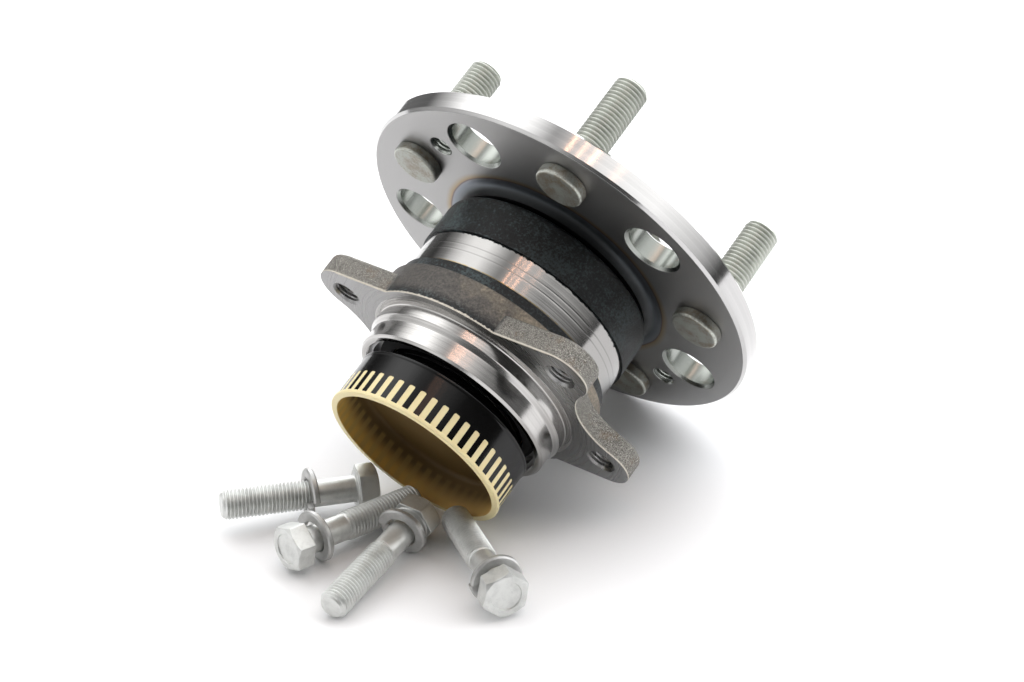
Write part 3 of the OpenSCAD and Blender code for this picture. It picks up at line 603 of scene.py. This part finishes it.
class HUB_OT_flange(bpy.types.Operator):
    """Adds the turned hub flange with its temper colours and the painted shade in its boss's fillet"""

    bl_idname = "hub.flange"
    bl_label = "Hub flange"

    def execute(self, context):
        colours = context.scene.hub_colours
        bm = lathe(soft((0, -14), (17, -14, 1.5), (19, -12), (27.5, 2), (27.5, 10.2), (28.3, 11), (32.5, 11),
                        (33.5, 10), (33.5, 4), (34.2, 4), (34.7, 3.5), (34.7, 0), (72.6, 0), (73.6, -1), (73.6, -7.5),
                        (72.6, -8.5), (37.5, -8.5, 3.0), (37.1, -11.9), (27.2, -11.9), (25.2, -13.9), (25.2, -21.96))
                   + arc((27.5, -27.5), 6.0, 112.5, 203.6)
                   + soft((22, -29.9), (22, -38.5), (20.5, -40.5), (15, -40.5), (15, -74), (20.5, -74),
                          (21.5, -75.2, 0.5), (19.3, -77, 0.6), (15, -77.6), (11, -77.2), (9.5, -75.6), (9.5, -63.6),
                          (0, -60.6)), 180)
        access = lathe([(0, -9.5), (11.35, -9.5), (9.3, -7.45), (9.3, -0.3), (10.6, 1), (0, 1)], 64)
        holes = joined(around(access, [angle + 36 for angle in STUD_ANGLES], STUD_CIRCLE),
                       around(lathe([(0, -9.5), (6.2, -9.5), (6.2, 1), (0, 1)], 64), STUD_ANGLES, STUD_CIRCLE),
                       around(thread(4.0, 3.35, 1.25, -12.0, 3.0), DISC_SCREWS, STUD_CIRCLE))
        bm = boolean(bm, holes, "DIFFERENCE")
        bm = boolean(bm, around(sunk(3.3, 4.3, FLANGE_BACK, 0), DISC_SCREWS, STUD_CIRCLE), "DIFFERENCE")
        piece = settle(bm, "turned_hub_flange", 30)
        piece.data.materials.append(turned_steel("turned steel", colours.steel, True))
        hang(piece, "hub", "hub_flange")
        return {"FINISHED"}


class HUB_OT_studs(bpy.types.Operator):
    """Adds the five wheel studs with rolled threads"""

    bl_idname = "hub.studs"
    bl_label = "Wheel studs"

    def execute(self, context):
        sizes = context.scene.hub_sizes
        coat = zinc("stud zinc", context.scene.hub_colours.studs, heads=True)
        crest = sizes.stud_crest / MM
        head = lathe(soft((0, -12.3), (8.5, -12.3, 1.3), (8.5, -8.9), (8.1, FLANGE_BACK), (6.18, FLANGE_BACK),
                          (6.18, -0.9), (5.9, -0.5), (5.3, -0.1), (5.3, 1.2), (0, 1.2)), 64)
        body = thread(crest - 0.02, crest - 0.9, sizes.stud_pitch / MM, 0.6, 33.0, tip=1.5, runout=1.6,
                      shank=crest - 0.5)
        stud = joined(head, body)
        for index, angle in enumerate(STUD_ANGLES):
            piece = settle(around(stud.copy(), [angle], STUD_CIRCLE), "rolled_stud_%d" % (index + 1), 35)
            piece.data.materials.append(coat)
            hang(piece, "hub", "wheel_stud_%d" % (index + 1))
        return {"FINISHED"}


class HUB_OT_outer_ring(bpy.types.Operator):
    """Adds the outer ring: forged barrel and ears, turned band and ground spigot"""

    bl_idname = "hub.outer_ring"
    bl_label = "Outer ring"

    def execute(self, context):
        colours = context.scene.hub_colours
        finishes = [forging_scale("forging scale"), band_steel("turned band", colours.band),
                    blasted_forging("blasted forging"),
                    turned_steel("turned ear face", [c * 0.56 for c in colours.steel])]

        def choose(centre, radius, normal):
            if radius > 36.4 and centre.y > -29.35:
                return 0
            if centre.y > -41.4:
                return 1
            in_hole = any(math.hypot(centre.x - x, centre.z - z) < 5.7 for x, z in EAR_HOLES)
            if in_hole or centre.y < KNUCKLE_FACE + 0.05 and normal.y < -0.9 and radius > 38.2:
                return 3
            if radius < 38.4:
                return 1
            return 0 if radius < 41.6 else 2

        bm = lathe(soft((33.4, -13.6), (39.5, -13.6, 3.0), (39.5, -29.3), (38.8, -29.3), (38.8, -41.3), (39.7, -41.9),
                        (40.1, -45.9), (41.5, -45.9, 0.5), (41.5, -58.5), (38.6, -58.5), (38.0, -58.4), (37.4, -58.1),
                        (36.9, -57.9), (36.7, -57.9), (36.7, -59.3), (36.4, -59.6), (36.4, -60.1), (36.7, -60.4),
                        (36.7, -63.4), (36.3, -63.8), (35.4, -65.2), (35.4, -71.2), (34.6, -72), (33.0, -72),
                        (32.6, -71.6), (32.6, -65.65), (32.2, -65.65), (32.2, -61.23))
                   + arc((27.5, -57.5), 6.0, -38.4, 54.3) + [(31, -52.63), (31, -32.37)]
                   + arc((27.5, -27.5), 6.0, -54.3, 38.4)
                   + [(32.2, -23.77), (32.2, -18.8), (33, -18.8), (33, -14.0)], 180)
        bm = boolean(bm, ear_plate(), "UNION")
        for tool in (thread(5.0, 4.35, 1.25, -62.5, -46.5),
                     sunk(4.3, 5.4, KNUCKLE_FACE, KNUCKLE_FACE + EAR_THICKNESS)):
            holes = joined(*(moved(tool.copy(), Matrix.Translation((x * MM, 0, z * MM))) for x, z in EAR_HOLES))
            tool.free()
            bm = boolean(bm, holes, "DIFFERENCE")
        piece = settle(bm, "forged_outer_ring", 30)
        paint(piece, finishes, choose)
        hang(piece, "fixed_ring", "outer_ring")
        return {"FINISHED"}


class HUB_OT_tone_ring(bpy.types.Operator):
    """Adds the black tone ring and the cream cup that fills its slots"""

    bl_idname = "hub.tone_ring"
    bl_label = "Tone ring and cup"

    def execute(self, context):
        ring = lathe(soft((25.2, -70.9), (26.1, -70.9), (26.4, -71.2), (26.4, -75.1, 0.4), (31.7, -75.1),
                          (32.2, -75.6, 0.15), (32.2, -76.2, 0.15), (31.9, -76.9), (31.9, -91.4), (30.7, -91.4),
                          (30.7, -76.3, 0.4), (25.2, -76.3)), 188)
        ring = boolean(ring, slot_bars(1.065, -83.4), "DIFFERENCE")
        piece = settle(ring, "slotted_tone_ring", 30)
        piece.data.materials.append(black_coat("black coat"))
        hang(piece, "hub", "tone_ring")

        cup = lathe(soft((0, -78.6), (29.7, -78.6), (30.7, -79.6), (30.7, -91.4), (32.3, -91.4, 0.3),
                         (32.3, -92.8, 0.45), (29.9, -92.8, 0.4), (29.9, -79.8, 2.0), (0, -79.8)), 188)
        fill = lathe([(30.3, -83.37), (31.86, -83.37), (31.86, -91.6), (30.3, -91.6)], 188)
        fill = boolean(fill, slot_bars(1.045, -83.42), "INTERSECT")
        piece = settle(joined(cup, fill), "moulded_cup", 30)
        piece.data.materials.append(cream_nylon("cream nylon"))
        hang(piece, "hub", "tone_ring_cup")
        return {"FINISHED"}


class HUB_OT_inside(bpy.types.Operator):
    """Gives the pieces inside the bearing their finishes"""

    bl_idname = "hub.inside"
    bl_label = "Bearing inside"

    def execute(self, context):
        ground = plain("ground steel", (0.58, 0.58, 0.58), 1.0, 0.14, 0.004)
        ball = plain("ball steel", (0.78, 0.78, 0.8), 1.0, 0.05, 0.002)
        nylon = plain("cage nylon", (0.5, 0.37, 0.2), 0.0, 0.42)
        sheet = plain("pressed sheet", (0.4, 0.4, 0.4), 1.0, 0.32, 0.01)
        rubber = plain("seal rubber", (0.004, 0.004, 0.004), 0.0, 0.8)
        for finish, nodes in ((ground, ["inner_ring"]), (ball, ["outboard_balls", "inboard_balls"]),
                              (nylon, ["outboard_cage", "inboard_cage"]),
                              (sheet, ["outboard_seal_case", "inboard_seal_case"]),
                              (rubber, ["outboard_seal_lip", "inboard_seal_lip"])):
            for node in nodes:
                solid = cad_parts[node]
                solid.data.materials.clear()
                solid.data.materials.append(finish)
        return {"FINISHED"}


class HUB_OT_bolts(bpy.types.Operator):
    """Adds the four loose bolts with rolled threads and hexagon heads"""

    bl_idname = "hub.bolts"
    bl_label = "Mounting bolts"

    def execute(self, context):
        sizes = context.scene.hub_sizes
        coat = zinc("flake zinc", context.scene.hub_colours.bolts, 0.8)
        crest = sizes.bolt_crest / MM
        # Built from the head at 0 to the tip, then turned so that the tip comes first
        body = thread(crest, crest - 0.77, sizes.bolt_pitch / MM, 22.0, BOLT_LENGTH, tip=1.3, runout=2.0, shank=4.5)
        shank = lathe(soft((0, 6.0), (6.5, 6.0), (6.5, 6.7), (6.2, 7.0), (5.0, 7.0), (4.65, 7.2), (4.5, 7.6),
                           (4.5, 22.0), (0, 22.0)), 64)
        head = bmesh.new()
        corner = 7.0 / math.cos(math.pi / 6) * MM
        bmesh.ops.create_cone(head, segments=6, radius1=corner, radius2=corner, depth=6.6 * MM, cap_ends=True)
        moved(head, Matrix.Translation((0, 3.3 * MM, 0)) @ Matrix.Rotation(math.pi / 2, 4, "X"))
        upright = [edge for edge in head.edges if abs(edge.verts[0].co.y - edge.verts[1].co.y) > 1e-3]
        bmesh.ops.bevel(head, geom=upright, offset=0.3 * MM, offset_type="OFFSET", segments=3, profile=0.5,
                        affect="EDGES", material=-1)
        rims = [edge for edge in head.edges if abs(edge.verts[0].co.y - edge.verts[1].co.y) < 1e-6]
        bmesh.ops.bevel(head, geom=rims, offset=0.4 * MM, offset_type="OFFSET", segments=3, profile=0.5,
                        affect="EDGES", material=-1)
        head = boolean(head, lathe([(0, -0.2), (6.5, -0.2), (8.3, 1.0), (8.3, 6.8), (0, 6.8)], 96), "INTERSECT")
        dish = lathe([(0, -1.0), (6.2, -1.0), (5.2, -0.05), (5.0, 0.08), (4.85, 0.4), (0, 0.4)], 64)
        head = boolean(head, dish, "DIFFERENCE")
        turn = Matrix.Translation((BOLT_LENGTH * MM, 0, 0)) @ Matrix.Rotation(math.pi, 4, "Z") @ ALONG_X
        stem = joined(body, shank)
        for index in range(4):
            pose, washer, drop, hexagon, split = bolt_pose(index)
            turned_head = moved(head.copy(), Matrix.Rotation(math.radians(hexagon), 4, "Y"))
            bm = moved(joined(stem.copy(), turned_head), pose @ turn)
            piece = settle(bm, "rolled_bolt_%d" % (index + 1), 24)
            piece.data.materials.append(coat)
            hang(piece, "fixed_ring", "mounting_bolt_%d" % (index + 1))
        return {"FINISHED"}


class HUB_OT_washers(bpy.types.Operator):
    """Adds the four split spring washers"""

    bl_idname = "hub.washers"
    bl_label = "Spring washers"

    def execute(self, context):
        coat = zinc("washer zinc", (0.5, 0.5, 0.49), 0.8)
        for index in range(4):
            pose, washer, drop, hexagon, split = bolt_pose(index)
            bm = bmesh.new()
            section = [(5.25, -0.8), (5.6, -1.1), (8.1, -1.1), (8.6, -0.6), (8.6, 0.6), (8.1, 1.1), (5.6, 1.1),
                       (5.25, 0.8)]
            verts = [bm.verts.new((r * MM, (y - 1.0) * MM, 0)) for r, y in section]
            face = bm.faces.new(verts)
            rise, steps = 2.0, 88
            bmesh.ops.spin(bm, geom=[face], axis=(0, 1, 0), cent=(0, 0, 0), dvec=(0, rise / steps * MM, 0),
                           angle=math.radians(351), steps=steps, use_merge=False, use_duplicate=False)
            bmesh.ops.holes_fill(bm, edges=[edge for edge in bm.edges if edge.is_boundary], sides=0)
            turn = Matrix.Translation((washer * MM, 0, drop * MM)) @ Matrix.Rotation(math.radians(split), 4, "X")
            piece = settle(moved(bm, pose @ turn @ ALONG_X), "split_washer_%d" % (index + 1), 40)
            piece.data.materials.append(coat)
            hang(piece, "fixed_ring", "spring_washer_%d" % (index + 1))
        return {"FINISHED"}


class HUB_OT_stage(bpy.types.Operator):
    """Adds the bench, the lights, the surroundings and the camera"""

    bl_idname = "hub.stage"
    bl_label = "Bench, lights and camera"

    def execute(self, context):
        scene = context.scene
        bm = bmesh.new()
        bmesh.ops.create_circle(bm, cap_ends=True, segments=96, radius=scene.hub_sizes.bench_radius)
        bmesh.ops.transform(bm, matrix=BENCH @ Matrix.Translation((0, 0.02, 0)), verts=bm.verts)
        mesh = bpy.data.meshes.new("bench")
        bm.to_mesh(mesh)
        bm.free()
        bench = bpy.data.objects.new("bench", mesh)
        scene.collection.objects.link(bench)
        cover = Finish("bench cover", roughness=0.7, Specular_IOR_Level=0.2)
        pale = scene.hub_colours.bench
        cover.set(**{"Base Color": cover.mix(cover.noise(0.02, 2.0), rgba([c * 0.99 for c in pale]), rgba(pale))})
        back = cover.node("ShaderNodeNewGeometry", out="Backfacing")
        clear = cover.node("ShaderNodeBsdfTransparent")
        both = cover.node("ShaderNodeMixShader", {}, {0: back, 1: Wire(cover, cover.shader.outputs[0]), 2: clear})
        cover.tree.links.new(both.socket, cover.output.inputs[0])
        mesh.materials.append(cover.material)

        world = bpy.data.worlds.new("studio")
        scene.world = world
        sky = Sky(world)
        grey = lambda *stops: [(place, (level, level, level)) for place, level in stops]
        # Seen by surfaces that lean to the camera's side: dark on the right, a window on the left
        near = sky.shade(sky.angle, *grey((-180, 0.05), (-108, 0.04), (-92, 0.02), (-76, 0.01), (-60, 0.015),
                                          (-46, 0.04), (-28, 0.3), (-16, 0.42), (2, 0.2), (14, 0.4), (28, 0.9),
                                          (46, 0.85), (58, 0.5), (70, 0.12), (86, 0.02), (100, 0.06), (180, 0.08)))
        # Seen by surfaces that lean outboard: windows on both sides
        far = sky.shade(sky.angle, *grey((-180, 0.1), (-110, 0.03), (-94, 0.4), (-78, 0.6), (-60, 0.8), (-44, 0.75),
                                         (-28, 0.65), (-16, 0.5), (4, 0.22), (16, 0.7), (30, 1.0), (48, 1.0),
                                         (60, 0.85), (74, 0.4), (88, 0.08), (102, 0.08), (180, 0.08)))
        room = sky.mix(sky.step(sky.y, 0.36, 0.46), near, far)
        room = sky.mix(sky.step(sky.y, 0.5, 0.75), room, (1.2, 1.21, 1.23, 1.0))
        # Seen by edges and faces that look inboard: the dark side of the room, with light from the left
        low = sky.shade(sky.angle, *grey((-180, 0.06), (-60, 0.03), (-20, 0.05), (0, 0.12), (20, 0.35), (45, 0.5),
                                         (70, 0.3), (100, 0.1), (180, 0.06)))
        room = sky.mix(sky.step(sky.y, 0.2, -0.1), room, low)
        lit = sky.node("ShaderNodeBackground", {}, {0: room, 1: 2.7})
        white = sky.node("ShaderNodeBackground", {}, {0: (1.0, 1.0, 1.0, 1.0), 1: 1.05})
        seen = sky.node("ShaderNodeLightPath", out="Is Camera Ray")
        both = sky.node("ShaderNodeMixShader", {}, {0: seen, 1: lit, 2: white})
        sky.tree.links.new(both.socket, sky.tree.nodes.new("ShaderNodeOutputWorld").inputs[0])

        middle = Vector((0, -0.05, 0))
        for index, (across, power) in enumerate(((0.1, 0.13), (0.18, 0.09), (0.26, 0.13), (0.42, 0.04))):
            name = "warm_strip_%d" % (index + 1)
            light = bpy.data.lights.new(name, "AREA")
            light.shape = "RECTANGLE"
            light.size, light.size_y = 0.009, 0.5
            light.energy = power
            light.color = (1.0, 0.5, 0.3)
            holder = bpy.data.objects.new(name, light)
            way = Vector((across, 0.38, 0.86)).normalized()
            holder.matrix_world = Matrix.Translation(middle + way) @ way.to_track_quat("Z", "Y").to_matrix().to_4x4()
            scene.collection.objects.link(holder)

        lens = bpy.data.cameras.new("photo_view")
        lens.sensor_width = 36.0
        lens.sensor_fit = "HORIZONTAL"
        lens.lens = 83.34
        camera = bpy.data.objects.new("photo_view", lens)
        right, up = Vector((0.78338, 0.54725, -0.29468)), Vector((-0.30101, 0.74884, 0.59045))
        back_way = Vector((0.54379, -0.37385, 0.75135))
        turn = Matrix((right, up, back_way)).transposed().to_4x4()
        camera.matrix_world = Matrix.Translation((0.42815, -0.33244, 0.58568)) @ turn
        scene.collection.objects.link(camera)
        scene.camera = camera
        scene.view_settings.view_transform = "Standard"
        return {"FINISHED"}


STEPS = ("flange", "studs", "outer_ring", "tone_ring", "inside", "bolts", "washers", "stage")


class HUB_PT_sidebar(bpy.types.Panel):
    """Lists the sizes, colours and steps"""

    bl_idname = "HUB_PT_sidebar"
    bl_label = "Wheel hub"
    bl_space_type = "VIEW_3D"
    bl_region_type = "UI"
    bl_category = "Wheel hub"

    def draw(self, context):
        for group in (context.scene.hub_sizes, context.scene.hub_colours):
            box = self.layout.box()
            for key in group.__annotations__:
                box.prop(group, key)
        for step in STEPS:
            self.layout.operator("hub." + step)


CLASSES = (HubSizes, HubColours, HUB_OT_flange, HUB_OT_studs, HUB_OT_outer_ring, HUB_OT_tone_ring, HUB_OT_inside,
           HUB_OT_bolts, HUB_OT_washers, HUB_OT_stage, HUB_PT_sidebar)


def register():
    for kind in CLASSES:
        bpy.utils.register_class(kind)
    bpy.types.Scene.hub_sizes = bpy.props.PointerProperty(type=HubSizes)
    bpy.types.Scene.hub_colours = bpy.props.PointerProperty(type=HubColours)


def unregister():
    del bpy.types.Scene.hub_colours
    del bpy.types.Scene.hub_sizes
    for kind in reversed(CLASSES):
        bpy.utils.unregister_class(kind)


def main():
    register()
    for step in STEPS:
        getattr(bpy.ops.hub, step)()


if __name__ == "__main__":
    main()
